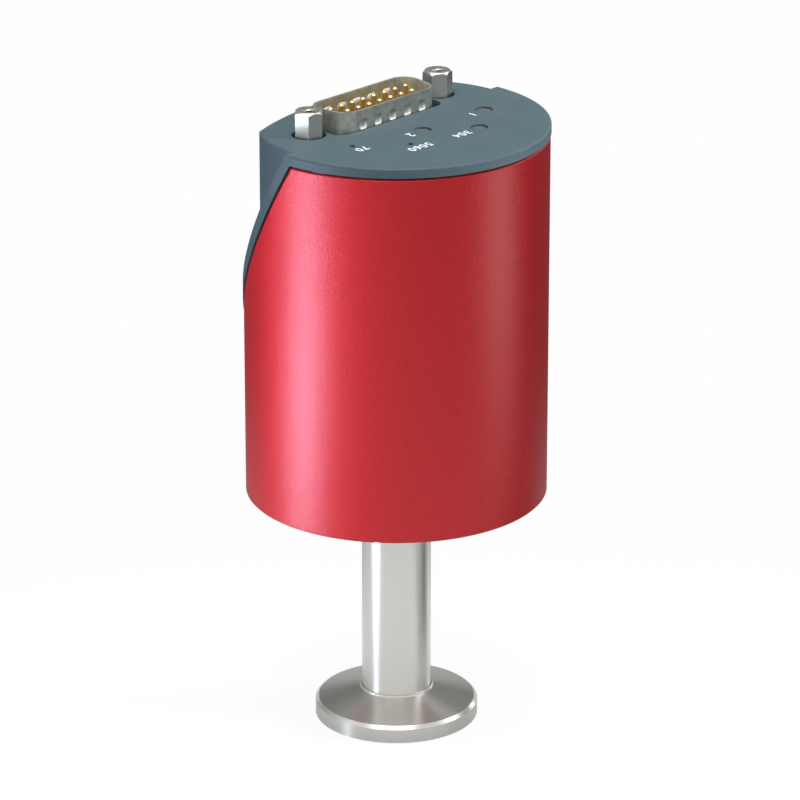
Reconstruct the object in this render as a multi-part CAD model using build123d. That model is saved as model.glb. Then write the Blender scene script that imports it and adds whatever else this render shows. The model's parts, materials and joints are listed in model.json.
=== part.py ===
from build123d import *
import os
from math import cos, radians, sin, sqrt, tan

# Capacitance diaphragm gauge with a round red housing, standing on its small flange vacuum port.
# Millimetres, +Z up. The origin is the centre of the flange's sealing face, the front is -Y and the
# sloping cut with the recessed flat of the cap is at the back, +Y.

# Fits between separate pieces
WELD_FIT = 0.02
PIN_FIT = 0.04
SLIDE_FIT = 0.06
SPIGOT_FIT = 0.1
LOOSE_GAP = 0.3

# Vacuum port: 16 mm clamp flange welded to a half inch tube
FLANGE_R = 15.0
FLANGE_EDGE = 2.6
FLANGE_BEVEL = 0.6
FLANGE_CONE = 15.0
FLANGE_NECK_R = 6.85
FLANGE_BEAD = 0.35
RECESS_R = 8.6
RECESS_DEPTH = 2.6
PORT_R = 6.35
PORT_WALL = 1.0
PORT_ABOVE_PLATE = 3.8

# Housing tube with its sloping cut at the back
BODY_R = 27.5
BODY_WALL = 1.5
BODY_BOTTOM = 44.7
BODY_TOP = 112.7
BODY_LIP = 1.5
BODY_LIP_WIDTH = 2.0
BODY_EDGE = 0.3
CUT_START = -0.6
CUT_ANGLE = 57.8

# Cap: plate, rim over the tube's edge, sloping lip and recessed back
CAP_OVERHANG = 0.15
CAP_PLATE = 2.4
CAP_RIM = 1.8
CAP_GAP = 0.3
CAP_WALL = 1.8
CAP_SPIGOT = 5.0
CAP_CORNER_INSET = 1.05
CAP_CORNER_Y = 13.6
CAP_CHEEK_INSET = 0.4
CAP_CHEEK_Y = 8.6
CAP_BACK_Y = 17.5
CAP_EDGE = 0.4
CAP_CORNER_EDGE = 0.5
NUB_WIDTH = 2.3
NUB_ANGLE = 76.5

# Jackscrews of the connector stand this far apart
JACK_PITCH = 33.32

# Fifteen-way D-shaped connector
PLUG_Y = 5.5
PLUG_WIDTH = 25.25
PLUG_DEPTH = 8.36
PLUG_SIDE_ANGLE = 10.0
PLUG_CORNER = 2.6
PLUG_SHEET = 0.5
PLUG_HEIGHT = 6.0
PLUG_FLANGE_END = 2.94
PLUG_FLANGE_DEPTH = 12.5
PLUG_FLANGE_CORNER = 1.0
PLUG_REAR = 4.4
PLUG_OPENING_WIDTH = 27.2
PLUG_OPENING_DEPTH = 9.8
PLUG_OPENING_CORNER = 2.2
DIMPLE_COUNT = 5
DIMPLE_PITCH = 3.8
DIMPLE_R = 1.3
DIMPLE_WIDTH = 2.0
DIMPLE_CORNER = 0.5
DIMPLE_DEPTH = 0.45
DIMPLE_HEIGHT = 3.4
PLUG_PIN_R = 0.51
PLUG_TAIL_R = 0.38
PLUG_PITCH = 2.77
PLUG_ROW_PITCH = 2.84
PLUG_PIN_BELOW_RIM = 0.4
PLUG_FACE = 0.8

# Hexagonal jackscrews, number 4 thread
JACK_FLATS = 4.75
JACK_HEIGHT = 6.0
JACK_CHAMFER = 0.5
JACK_THREAD_R = 1.42
JACK_BORE_R = 1.2
JACK_HOLE_DEPTH = 5.0
JACK_MOUTH = 0.4
JACK_POCKET_R = 3.1
JACK_FLOOR = 1.0
JACK_LENGTH = 7.0
JACK_TURNS = (43.5, 21.5)
SPACER_R = 2.5
SPACER_LENGTH = 6.6

# Light guides and button holes in the cap
GUIDE_R = 1.55
GUIDE_HOLE_R = 1.65
GUIDE_BELOW = 0.3
GUIDE_DOME = 0.2
GUIDE_COLLAR_R = 2.3
GUIDE_COLLAR = 1.0
GUIDE_SPOTS = {"status": (15.6, -6.9), "two": (7.3, -13.3), "one": (-0.7, -7.0)}
LED_SIZE = 3.0
LED_HEIGHT = 1.1
BUTTON_HOLE_R = 0.6
BUTTON_SPOTS = {"zero": (-8.15, -11.1), "setpoint": (-16.0, -4.5)}

# Push buttons
BUTTON_BODY = 6.0
BUTTON_BODY_HEIGHT = 2.9
BUTTON_FLOOR = 0.8
BUTTON_COVER = 0.3
BUTTON_STEM_R = 1.75
BUTTON_FOOT_R = 2.3
BUTTON_WELL_R = 2.6
BUTTON_HEIGHT = 6.5
BUTTON_TRAVEL = 0.25
DOME_SHEET = 0.1
DOME_RISE = 0.38
LEG_WIDTH = 0.9
LEG_LENGTH = 1.4
LEG_SHEET = 0.2
LEG_SPREAD = 2.22

# Circuit boards and their standoffs
BOARD = 1.6
BOARD_INSET = 1.0
MAIN_BOARD_STANDOFF = 11.5
STANDOFF_SPOTS = ((0.0, -18.0), (12.5, 11.0), (-12.5, 11.0))
STANDOFF_FLATS = 4.5
STUD_R = 1.25
STUD_LENGTH = 4.0
SCREW_HEAD_R = 2.25
SCREW_HEAD = 1.6
LINK_Y = -1.5
LINK_PITCH = 2.54
LINK_COLUMNS = 6
LINK_PIN = 0.64
LINK_HEADER = 2.5
LINK_GAP = 1.0
LINK_TAIL = 1.0

# Base plate and the sensor housing on it
BASE_PLATE = 4.0
HOUSING_GAP = 1.9
HOUSING_WALL = 3.9
HOUSING_HEADROOM = 0.5
HOUSING_ROOF = 2.0
HOUSING_WINDOW_R = 7.0
BASE_SCREW_R = 1.5
BASE_SCREW_HEAD_R = 2.8
BASE_SCREW_LENGTH = 9.0
BASE_SCREW_COUNT = 4

# Ceramic measuring cell
ADAPTER_R = 7.2
ADAPTER_FLANGE_R = 9.0
ADAPTER_FLANGE = 0.8
ADAPTER_HEIGHT = 5.0
ADAPTER_STEP = 1.0
ADAPTER_THROAT_R = 4.9
BAFFLE_R = 5.55
BAFFLE = 0.4
BAFFLE_HOLE_R = 0.8
BAFFLE_HOLE_SPOT_R = 3.9
CELL_GAP = 0.8
CELL_BODY = 4.5
CELL_BORE_R = 2.5
CELL_SEAL_WIDTH = 2.5
CELL_SEAL = 0.2
CELL_DIAPHRAGM = 0.5
CELL_COVER = 4.0
CELL_PIN_R = 0.45
CELL_PIN_INSET = 8.5
GETTER_INSET = 9.0
GETTER_CUP_R = 4.5
GETTER_CUP_WALL = 0.7
GETTER_CUP_HEIGHT = 2.6
GETTER_R = 3.4
GETTER_HEIGHT = 1.0
GETTER_HOLE_R = 1.5
SENSOR_BOARD = 1.2
SENSOR_BOARD_INSET = 1.8
SENSOR_BOARD_GAP = 3.0
RIBBON_Y = 4.5
RIBBON_WIDTH = 8.0
RIBBON_SHEET = 0.3
RIBBON_SOCKET = 2.4
RIBBON_END = 0.6

# Parts on the boards: length, width, height and the place of the middle
CONTROLLER_SIZE = (10.0, 10.0, 1.4)
CONTROLLER_SPOT = (-8.0, -10.5)
CONVERTER_SIZE = (7.0, 7.0, 1.0)
CONVERTER_SPOT = (8.0, -9.5)
COIL_SIZE = (6.0, 6.0, 2.4)
COIL_SPOT = (16.0, -5.0)
SENSOR_CHIP_SIZE = (6.0, 6.0, 1.0)
SENSOR_CHIP_SPOT = (9.5, 0.0)
CAPACITOR_R = 2.4
CAPACITOR_HEIGHT = 2.4
CAPACITOR_SPOTS = ((-17.0, -1.5), (-10.5, 1.5), (11.5, 1.5))

MIN = (Align.CENTER, Align.CENTER, Align.MIN)

# Levels and radii that follow from the sizes above
body_in_r = BODY_R - BODY_WALL
cap_r = BODY_R + CAP_OVERHANG
rim_under = BODY_TOP + CAP_GAP
cap_top = rim_under + CAP_RIM
cap_under = cap_top - CAP_PLATE
spigot_r = body_in_r - SPIGOT_FIT
spigot_in_r = spigot_r - CAP_WALL
jack_seat = cap_under + JACK_FLOOR
jack_top = jack_seat + JACK_HEIGHT
plug_rim = cap_under + PLUG_HEIGHT
plug_flange_width = JACK_PITCH + 2 * PLUG_FLANGE_END
rear_flange_under = cap_under - 2 * PLUG_SHEET
plug_bottom = rear_flange_under - PLUG_REAR
plug_board_top = rear_flange_under - SPACER_LENGTH
plug_board_under = plug_board_top - BOARD
base_under = BODY_BOTTOM + BODY_LIP
base_top = base_under + BASE_PLATE
port_top = base_top + PORT_ABOVE_PLATE
cell_bottom = port_top + 2 * ADAPTER_STEP
body_seal = cell_bottom + CELL_BODY
diaphragm_under = body_seal + CELL_SEAL
cover_seal = diaphragm_under + CELL_DIAPHRAGM
cover_under = cover_seal + CELL_SEAL
cover_top = cover_under + CELL_COVER
sensor_board_under = cover_top + SENSOR_BOARD_GAP
sensor_board_top = sensor_board_under + SENSOR_BOARD
roof_under = sensor_board_top + RIBBON_SOCKET + HOUSING_HEADROOM
housing_top = roof_under + HOUSING_ROOF
housing_r = spigot_in_r - HOUSING_GAP
housing_in_r = housing_r - HOUSING_WALL
cell_r = housing_in_r - CELL_GAP
seal_in_r = cell_r - CELL_SEAL_WIDTH
cell_pin_spot_r = cell_r - CELL_PIN_INSET
getter_x = cell_r - GETTER_INSET
main_board_under = housing_top + MAIN_BOARD_STANDOFF
main_board_top = main_board_under + BOARD


def write(name, shape):
    shape.label = name
    export_step(shape, f"parts/{name}.step")


def drum(radius, low, high, x=0.0, y=0.0):
    return Pos(x, y, low) * Cylinder(radius, high - low, align=MIN)


def ring(outer, inner, low, high):
    return drum(outer, low, high) - drum(inner, low - 1, high + 1)


def block(width, depth, low, high, x=0.0, y=0.0):
    return Pos(x, y, low) * Box(width, depth, high - low, align=MIN)


def placed(size, low, spot):
    width, depth, height = size
    return block(width, depth, low, low + height, *spot)


def prism(sketch, low, high):
    return extrude(Pos(0, 0, low) * sketch, high - low)


def above_slope(offset):
    # everything on the outer side of the sloping cut, moved out by the offset
    slope = Plane(
        origin=(0, CUT_START, BODY_TOP),
        x_dir=(1, 0, 0),
        z_dir=(0, sin(radians(CUT_ANGLE)), cos(radians(CUT_ANGLE))),
    )
    reach = BODY_TOP + BODY_R
    return slope.offset(offset) * Box(2 * reach, 2 * reach, reach, align=MIN)


def hex_bar(flats, low, high, x, y, turn=0.0):
    bar = RegularPolygon(flats / 2, 6, major_radius=False, rotation=turn)
    return extrude(Pos(x, y, low) * bar, high - low)


def plug_outline(grow):
    # D shape, wide side towards the back, grown outwards by the given amount
    half = PLUG_WIDTH / 2
    rise = PLUG_DEPTH / 2
    narrow = half - PLUG_DEPTH * tan(radians(PLUG_SIDE_ANGLE))
    shape = Polygon((-half, rise), (-narrow, -rise), (narrow, -rise), (half, rise), align=None)
    shape = fillet(shape.vertices(), PLUG_CORNER)
    return Pos(0, PLUG_Y, 0) * offset(shape, grow)


def dimple(grow):
    # the press tool's round-nosed bar, lying along X, with softened ends
    bar = Rot(0, 90, 0) * Cylinder(DIMPLE_R + grow, DIMPLE_WIDTH + 2 * grow)
    return fillet(bar.edges().filter_by(GeomType.CIRCLE), DIMPLE_CORNER + grow)


def plug_spots():
    back = [((i - 3.5) * PLUG_PITCH, PLUG_Y + PLUG_ROW_PITCH / 2) for i in range(8)]
    front = [((i - 3.0) * PLUG_PITCH, PLUG_Y - PLUG_ROW_PITCH / 2) for i in range(7)]
    return back + front


def link_spots():
    spots = []
    for i in range(LINK_COLUMNS):
        x = (i - (LINK_COLUMNS - 1) / 2) * LINK_PITCH
        spots += [(x, LINK_Y - LINK_PITCH / 2), (x, LINK_Y + LINK_PITCH / 2)]
    return spots


def cap_outline(grow):
    # plan of the cap's own wall: round at the front, cheeks and a gently bowed flat at the back
    corner_x = sqrt((body_in_r - CAP_CORNER_INSET) ** 2 - CAP_CORNER_Y**2)
    cheek_x = sqrt((body_in_r - CAP_CHEEK_INSET) ** 2 - CAP_CHEEK_Y**2)
    corner = corner_x, CAP_CORNER_Y
    other = -corner_x, CAP_CORNER_Y
    front = ThreePointArc((-spigot_r, 0), (0, -spigot_r), (spigot_r, 0))
    right = ThreePointArc((spigot_r, 0), (cheek_x, CAP_CHEEK_Y), corner)
    back = ThreePointArc(corner, (0, CAP_BACK_Y), other)
    left = ThreePointArc(other, (-cheek_x, CAP_CHEEK_Y), (-spigot_r, 0))
    plan = make_face([front, right, back, left])
    if grow == 0:
        return plan
    return offset(plan, grow)


jack_spots = [(-JACK_PITCH / 2, PLUG_Y), (JACK_PITCH / 2, PLUG_Y)]

# Flange: straight edge, bevel, clamp cone, weld bead against the tube, centring recess below
cone_start = FLANGE_EDGE + FLANGE_BEVEL
cone_rise = (FLANGE_R - FLANGE_BEVEL - FLANGE_NECK_R) * tan(radians(FLANGE_CONE))
neck_z = cone_start + cone_rise
socket_r = PORT_R + WELD_FIT
flange_profile = Polyline(
    (socket_r, RECESS_DEPTH),
    (RECESS_R, RECESS_DEPTH),
    (RECESS_R, 0),
    (FLANGE_R, 0),
    (FLANGE_R, FLANGE_EDGE),
    (FLANGE_R - FLANGE_BEVEL, cone_start),
    (FLANGE_NECK_R, neck_z),
    (socket_r, neck_z + FLANGE_BEAD),
    (socket_r, RECESS_DEPTH),
)
kf_flange = revolve(Plane.XZ * make_face(flange_profile), Axis.Z)
write("kf_flange", kf_flange)

# Tube of the vacuum port
port_tube = ring(PORT_R, PORT_R - PORT_WALL, RECESS_DEPTH, port_top)
write("port_tube", port_tube)

# Housing tube: plain bottom edge with an inner lip, top cut square at the front and sloping behind
housing_tube = ring(BODY_R, body_in_r, BODY_BOTTOM, BODY_TOP)
housing_tube += ring(BODY_R - BODY_WALL / 2, body_in_r - BODY_LIP_WIDTH, BODY_BOTTOM, base_under)
housing_tube -= above_slope(0)
rims = housing_tube.edges().filter_by(GeomType.LINE, reverse=True)
outer_rims = [e for e in rims if sqrt((e @ 0.5).X ** 2 + (e @ 0.5).Y ** 2) > BODY_R - BODY_WALL / 2]
housing_tube = chamfer(outer_rims, BODY_EDGE)
write("housing_tube", housing_tube)

# Cap: rim and sloping lip follow the tube's edge, the recessed back rises from the slope
lip = drum(cap_r, BODY_BOTTOM, cap_top)
lip = fillet(lip.faces().sort_by(Axis.Z)[-1].edges(), CAP_EDGE)
lip -= above_slope(CAP_GAP + CAP_RIM)
lip -= drum(cap_r + 1, BODY_BOTTOM - 1, rim_under) - above_slope(CAP_GAP)
walls = prism(cap_outline(0), BODY_BOTTOM, cap_top)
walls = fillet(walls.edges().filter_by(Axis.Z).group_by(Axis.Y)[-1], CAP_CORNER_EDGE)
walls = fillet(walls.faces().sort_by(Axis.Z)[-1].edges(), CAP_EDGE)
shell = lip + (walls & above_slope(CAP_GAP))

# Spigot inside the tube, as deep below the sloping lip as below the rim
spigot = ring(spigot_r, spigot_in_r, BODY_BOTTOM, cap_under)
spigot -= above_slope(CAP_GAP + CAP_RIM / 2)
below = drum(cap_r, BODY_BOTTOM - 1, rim_under - CAP_SPIGOT) - above_slope(-CAP_SPIGOT)
spigot -= below
cap = shell + spigot
cap -= prism(cap_outline(-CAP_WALL), BODY_BOTTOM - 1, cap_under)

# Pocket that clears the connector's flange
pocket_width = plug_flange_width + 2 * LOOSE_GAP
pocket_depth = PLUG_FLANGE_DEPTH + 2 * LOOSE_GAP
pocket = RectangleRounded(pocket_width, pocket_depth, PLUG_FLANGE_CORNER)
cap -= prism(Pos(0, PLUG_Y) * pocket, rear_flange_under - LOOSE_GAP, cap_under)

# Nubs that keep the cap's rim off the tube's edge
nub_depth = BODY_WALL + SPIGOT_FIT + CAP_WALL / 2
nub_r = BODY_R - nub_depth / 2 - BODY_EDGE
for side in (-NUB_ANGLE, NUB_ANGLE):
    nub = Rot(0, 0, side) * block(NUB_WIDTH, nub_depth, BODY_TOP, rim_under, 0, -nub_r)
    cap += nub
back_nub = block(NUB_WIDTH, nub_depth, BODY_BOTTOM, cap_top, 0, nub_r) & above_slope(0)
cap += back_nub - above_slope(CAP_GAP)

# Openings in the plate: connector, jackscrews, light guides and buttons
opening = RectangleRounded(PLUG_OPENING_WIDTH, PLUG_OPENING_DEPTH, PLUG_OPENING_CORNER)
cap -= prism(Pos(0, PLUG_Y) * opening, cap_under - 1, cap_top + 1)
for x, y in jack_spots:
    cap -= drum(JACK_POCKET_R, jack_seat, cap_top + 1, x, y)
    cap -= drum(JACK_THREAD_R + 2 * SPIGOT_FIT, cap_under - 1, cap_top, x, y)
for x, y in GUIDE_SPOTS.values():
    cap -= drum(GUIDE_HOLE_R, cap_under - 1, cap_top + 1, x, y)
for x, y in BUTTON_SPOTS.values():
    cap -= drum(BUTTON_HOLE_R, cap_under - 1, cap_top + 1, x, y)
write("top_cap", cap)

# Connector shell in front: flange sheet and D collar with pressed dimples
flange_plan = Pos(0, PLUG_Y) * RectangleRounded(plug_flange_width, PLUG_FLANGE_DEPTH, PLUG_FLANGE_CORNER)
front_shell = prism(flange_plan, cap_under - PLUG_SHEET, cap_under)
front_shell += prism(plug_outline(PLUG_SHEET), cap_under - PLUG_SHEET, plug_rim)
front_shell -= prism(plug_outline(0), cap_under - 2, plug_rim + 1)
wall_y = PLUG_DEPTH / 2 + PLUG_SHEET
inside = prism(plug_outline(PLUG_SHEET / 2), cap_under, plug_rim)
for side in (-1, 1):
    for i in range(DIMPLE_COUNT):
        x = (i - (DIMPLE_COUNT - 1) / 2) * DIMPLE_PITCH
        y = PLUG_Y + side * (wall_y + DIMPLE_R - DIMPLE_DEPTH)
        spot = Pos(x, y, cap_under + DIMPLE_HEIGHT)
        front_shell += (spot * dimple(PLUG_SHEET)) & inside
        front_shell -= spot * dimple(0)
for x, y in jack_spots:
    front_shell -= drum(JACK_THREAD_R + SPIGOT_FIT, cap_under - 2, cap_under + 1, x, y)
write("connector_shell", front_shell)

# Rear half of the connector's shell
rear_shell = prism(flange_plan, rear_flange_under, rear_flange_under + PLUG_SHEET)
rear_shell += prism(plug_outline(PLUG_SHEET), plug_bottom + 1, rear_flange_under + PLUG_SHEET)
rear_shell -= prism(plug_outline(0), plug_bottom, cap_under)
for x, y in jack_spots:
    rear_shell -= drum(JACK_THREAD_R + SPIGOT_FIT, rear_flange_under - 1, cap_under, x, y)
write("connector_rear_shell", rear_shell)

# Insulator of the connector
insulator = prism(plug_outline(-PIN_FIT), plug_bottom, cap_under + PLUG_FACE)
for x, y in plug_spots():
    insulator -= drum(PLUG_PIN_R + WELD_FIT, plug_bottom - 1, plug_rim, x, y)
write("connector_insulator", insulator)

# Fifteen contact pins with bevelled tips and thinner solder tails
pins = []
pin_top = plug_rim - PLUG_PIN_BELOW_RIM
for x, y in plug_spots():
    pin = drum(PLUG_PIN_R, plug_bottom, pin_top, x, y)
    pin = chamfer(pin.faces().sort_by(Axis.Z)[-1].edges(), PLUG_PIN_R / 2)
    pins.append(pin + drum(PLUG_TAIL_R, plug_board_under - 1.2, plug_bottom, x, y))
write("connector_pins", Compound(children=pins))

# Hexagonal jackscrews: chamfered top, tapped hole with a countersunk mouth, threaded stud below
jacks = []
for (x, y), turn in zip(jack_spots, JACK_TURNS):
    head = hex_bar(JACK_FLATS, jack_seat, jack_top, x, y, turn)
    crown = drum(JACK_FLATS / sqrt(3), jack_seat, jack_top, x, y)
    crown = chamfer(crown.faces().sort_by(Axis.Z)[-1].edges(), JACK_CHAMFER)
    head = head & crown
    head -= drum(JACK_BORE_R, jack_top - JACK_HOLE_DEPTH, jack_top + 1, x, y)
    head -= Pos(x, y, jack_top) * Cone(JACK_BORE_R - JACK_MOUTH, JACK_BORE_R + JACK_MOUTH, 2 * JACK_MOUTH)
    jacks.append(head + drum(JACK_THREAD_R, jack_seat - JACK_LENGTH, jack_seat, x, y))
write("jackscrews", Compound(children=jacks))

# Tapped spacers between the connector's flange and its board, and the screws below them
spacers = []
spacer_screws = []
screw_tip = jack_seat - JACK_LENGTH - LOOSE_GAP
for x, y in jack_spots:
    spacer = drum(SPACER_R, plug_board_top, rear_flange_under, x, y)
    spacers.append(spacer - drum(JACK_THREAD_R + WELD_FIT, plug_board_top - 1, cap_under, x, y))
    screw = drum(SPACER_R - 0.1, plug_board_under - SCREW_HEAD, plug_board_under, x, y)
    screw += drum(JACK_THREAD_R, plug_board_under, screw_tip, x, y)
    screw -= block(4, 0.6, plug_board_under - SCREW_HEAD, plug_board_under - SCREW_HEAD / 2, x, y)
    spacer_screws.append(screw)
write("connector_spacers", Compound(children=spacers))
write("connector_board_screws", Compound(children=spacer_screws))

# Clear light guides with a domed top, and the lamps on the board below them
guide_top = cap_top - GUIDE_BELOW
led_top = plug_board_top + LED_HEIGHT
dome_r = (GUIDE_R**2 + GUIDE_DOME**2) / (2 * GUIDE_DOME)
for name, (x, y) in GUIDE_SPOTS.items():
    guide = drum(GUIDE_R, led_top + SPIGOT_FIT, guide_top + GUIDE_DOME, x, y)
    guide &= Pos(x, y, guide_top + GUIDE_DOME - dome_r) * Sphere(dome_r)
    guide += drum(GUIDE_COLLAR_R, cap_under - GUIDE_COLLAR, cap_under, x, y)
    write(f"light_guide_{name}", guide)
    write(f"lamp_{name}", block(LED_SIZE, LED_SIZE, plug_board_top, led_top, x, y))

# Push buttons: base, cover plate, snap dome, plunger and solder legs
well_floor = plug_board_top + BUTTON_FLOOR
well_top = plug_board_top + BUTTON_BODY_HEIGHT
foot = well_floor + DOME_RISE + DOME_SHEET + BUTTON_TRAVEL + WELD_FIT
dome_height = DOME_RISE + DOME_SHEET
dome_skin = Cone(BUTTON_FOOT_R, BUTTON_FOOT_R / 2, dome_height, align=MIN)
for name, (x, y) in BUTTON_SPOTS.items():
    base = block(BUTTON_BODY, BUTTON_BODY, plug_board_top, well_top, x, y)
    base -= drum(BUTTON_WELL_R, well_floor, well_top + 1, x, y)
    write(f"{name}_button_base", base)
    cover = block(BUTTON_BODY, BUTTON_BODY, well_top, well_top + BUTTON_COVER, x, y)
    cover -= drum(BUTTON_STEM_R + SLIDE_FIT, well_top - 1, well_top + 1, x, y)
    write(f"{name}_button_cover", cover)
    dome = Pos(x, y, well_floor) * dome_skin
    write(f"{name}_button_dome", dome - Pos(x, y, well_floor - DOME_SHEET) * dome_skin)
    plunger = drum(BUTTON_FOOT_R, foot, well_top - WELD_FIT, x, y)
    plunger += drum(BUTTON_STEM_R, foot, plug_board_top + BUTTON_HEIGHT, x, y)
    write(f"{name}_button_plunger", plunger)
    legs = []
    leg_x = (BUTTON_BODY + LEG_LENGTH) / 2
    for side in (-1, 1):
        for end in (-1, 1):
            spot = (x + side * leg_x, y + end * LEG_SPREAD)
            legs.append(block(LEG_LENGTH, LEG_WIDTH, plug_board_top, plug_board_top + LEG_SHEET, *spot))
    write(f"{name}_button_legs", Compound(children=legs))

# Circuit boards: the connector's board and the main board share one outline
board_plan = cap_outline(-CAP_WALL - BOARD_INSET)
plug_board = prism(board_plan, plug_board_under, plug_board_top)
for x, y in plug_spots():
    plug_board -= drum(PLUG_TAIL_R + PIN_FIT, plug_board_under - 1, plug_board_top + 1, x, y)
for x, y in jack_spots:
    plug_board -= drum(JACK_THREAD_R + SPIGOT_FIT, plug_board_under - 1, plug_board_top + 1, x, y)
main_board = prism(board_plan, main_board_under, main_board_top)
for x, y in STANDOFF_SPOTS:
    plug_board -= drum(STUD_R + SPIGOT_FIT, plug_board_under - 1, plug_board_top + 1, x, y)
    main_board -= drum(STUD_R + SPIGOT_FIT, main_board_under - 1, main_board_top + 1, x, y)
pin_hole = LINK_PIN + 2 * PIN_FIT
for x, y in link_spots():
    plug_board -= block(pin_hole, pin_hole, plug_board_under - 1, plug_board_top + 1, x, y)
    main_board -= block(pin_hole, pin_hole, main_board_under - 1, main_board_top + 1, x, y)
write("connector_board", plug_board)
write("main_board", main_board)

# Header, socket and pins that link the two boards
link_width = LINK_COLUMNS * LINK_PITCH
header = block(link_width, 2 * LINK_PITCH, main_board_top, main_board_top + LINK_HEADER, 0, LINK_Y)
socket_under = main_board_top + LINK_HEADER + LINK_GAP
socket = block(link_width, 2 * LINK_PITCH, socket_under, plug_board_under, 0, LINK_Y)
link_pins = []
for x, y in link_spots():
    header -= block(pin_hole, pin_hole, main_board_top - 1, plug_board_top, x, y)
    socket -= block(pin_hole, pin_hole, main_board_top, plug_board_top, x, y)
    pin = block(LINK_PIN, LINK_PIN, main_board_under - LINK_TAIL, plug_board_top + LINK_TAIL, x, y)
    link_pins.append(pin)
write("link_header", header)
write("link_socket", socket)
write("link_pins", Compound(children=link_pins))

# Parts soldered on the main board
write("controller_chip", placed(CONTROLLER_SIZE, main_board_top, CONTROLLER_SPOT))
write("converter_chip", placed(CONVERTER_SIZE, main_board_top, CONVERTER_SPOT))
write("power_coil", placed(COIL_SIZE, main_board_top, COIL_SPOT))
cans = []
for x, y in CAPACITOR_SPOTS:
    cans.append(drum(CAPACITOR_R, main_board_top, main_board_top + CAPACITOR_HEIGHT, x, y))
write("capacitors", Compound(children=cans))

# Standoffs with a stud below and a tapped hole above, and the screws on top
upper_standoffs = []
lower_standoffs = []
board_screws = []
tap_r = STUD_R + WELD_FIT
for x, y in STANDOFF_SPOTS:
    upper = hex_bar(STANDOFF_FLATS, main_board_top, plug_board_under, x, y)
    upper += drum(STUD_R, main_board_top - BOARD - STUD_LENGTH, main_board_top, x, y)
    upper_standoffs.append(upper - drum(tap_r, plug_board_under - 7, plug_board_under + 1, x, y))
    lower = hex_bar(STANDOFF_FLATS, housing_top, main_board_under, x, y)
    lower += drum(STUD_R, roof_under + WELD_FIT, housing_top, x, y)
    lower_standoffs.append(lower - drum(tap_r, main_board_under - 6, main_board_under + 1, x, y))
    screw = drum(SCREW_HEAD_R, plug_board_top, plug_board_top + SCREW_HEAD, x, y)
    screw += drum(STUD_R, plug_board_under - STUD_LENGTH, plug_board_top, x, y)
    screw -= block(0.6, 4, plug_board_top + SCREW_HEAD / 2, plug_board_top + SCREW_HEAD + 1, x, y)
    board_screws.append(screw)
write("upper_standoffs", Compound(children=upper_standoffs))
write("lower_standoffs", Compound(children=lower_standoffs))
write("board_screws", Compound(children=board_screws))

# Base plate inside the tube's lower lip, with countersunk screws from below
base_plate = ring(body_in_r - LOOSE_GAP, PORT_R + WELD_FIT, base_under, base_top)
sensor_housing = drum(housing_r, base_top, housing_top)
sensor_housing -= drum(housing_in_r, base_top - 1, roof_under)
sensor_housing -= drum(HOUSING_WINDOW_R, roof_under - 1, housing_top + 1)
base_screws = []
base_screw_spot_r = housing_r - HOUSING_WALL / 2
head_depth = BASE_SCREW_HEAD_R - BASE_SCREW_R
hole_r = BASE_SCREW_R + SPIGOT_FIT
for i in range(BASE_SCREW_COUNT):
    turn = radians(45 + 360 * i / BASE_SCREW_COUNT)
    x = base_screw_spot_r * cos(turn)
    y = base_screw_spot_r * sin(turn)
    base_plate -= drum(hole_r, base_under - 1, base_top + 1, x, y)
    mouth = Cone(BASE_SCREW_HEAD_R + SPIGOT_FIT, hole_r, head_depth, align=MIN)
    base_plate -= Pos(x, y, base_under) * mouth
    tap = drum(BASE_SCREW_R + WELD_FIT, base_top - 1, base_under + BASE_SCREW_LENGTH + 1, x, y)
    sensor_housing -= tap
    screw = Pos(x, y, base_under) * Cone(BASE_SCREW_HEAD_R, BASE_SCREW_R, head_depth, align=MIN)
    screw += drum(BASE_SCREW_R, base_under + head_depth, base_under + BASE_SCREW_LENGTH, x, y)
    screw -= hex_bar(2.0, base_under - 1, base_under + 1.2, x, y)
    base_screws.append(screw)
for x, y in STANDOFF_SPOTS:
    sensor_housing -= drum(tap_r, roof_under - 1, housing_top + 1, x, y)
write("base_plate", base_plate)
write("sensor_housing", sensor_housing)
write("base_screws", Compound(children=base_screws))

# Adapter that joins the port tube to the ceramic cell, and the baffle resting on its step
adapter = drum(ADAPTER_R, cell_bottom - ADAPTER_HEIGHT, cell_bottom)
adapter += drum(ADAPTER_FLANGE_R, cell_bottom - ADAPTER_FLANGE, cell_bottom)
adapter -= drum(PORT_R + WELD_FIT, cell_bottom - ADAPTER_HEIGHT - 1, port_top)
adapter -= drum(ADAPTER_THROAT_R, port_top - 1, cell_bottom + 1)
adapter -= drum(BAFFLE_R + WELD_FIT, port_top + ADAPTER_STEP, cell_bottom + 1)
write("cell_adapter", adapter)
baffle = drum(BAFFLE_R, port_top + ADAPTER_STEP, port_top + ADAPTER_STEP + BAFFLE)
for i in range(6):
    turn = radians(60 * i)
    spot = (BAFFLE_HOLE_SPOT_R * cos(turn), BAFFLE_HOLE_SPOT_R * sin(turn))
    baffle -= drum(BAFFLE_HOLE_R, port_top, cell_bottom, *spot)
write("inlet_baffle", baffle)

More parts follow.
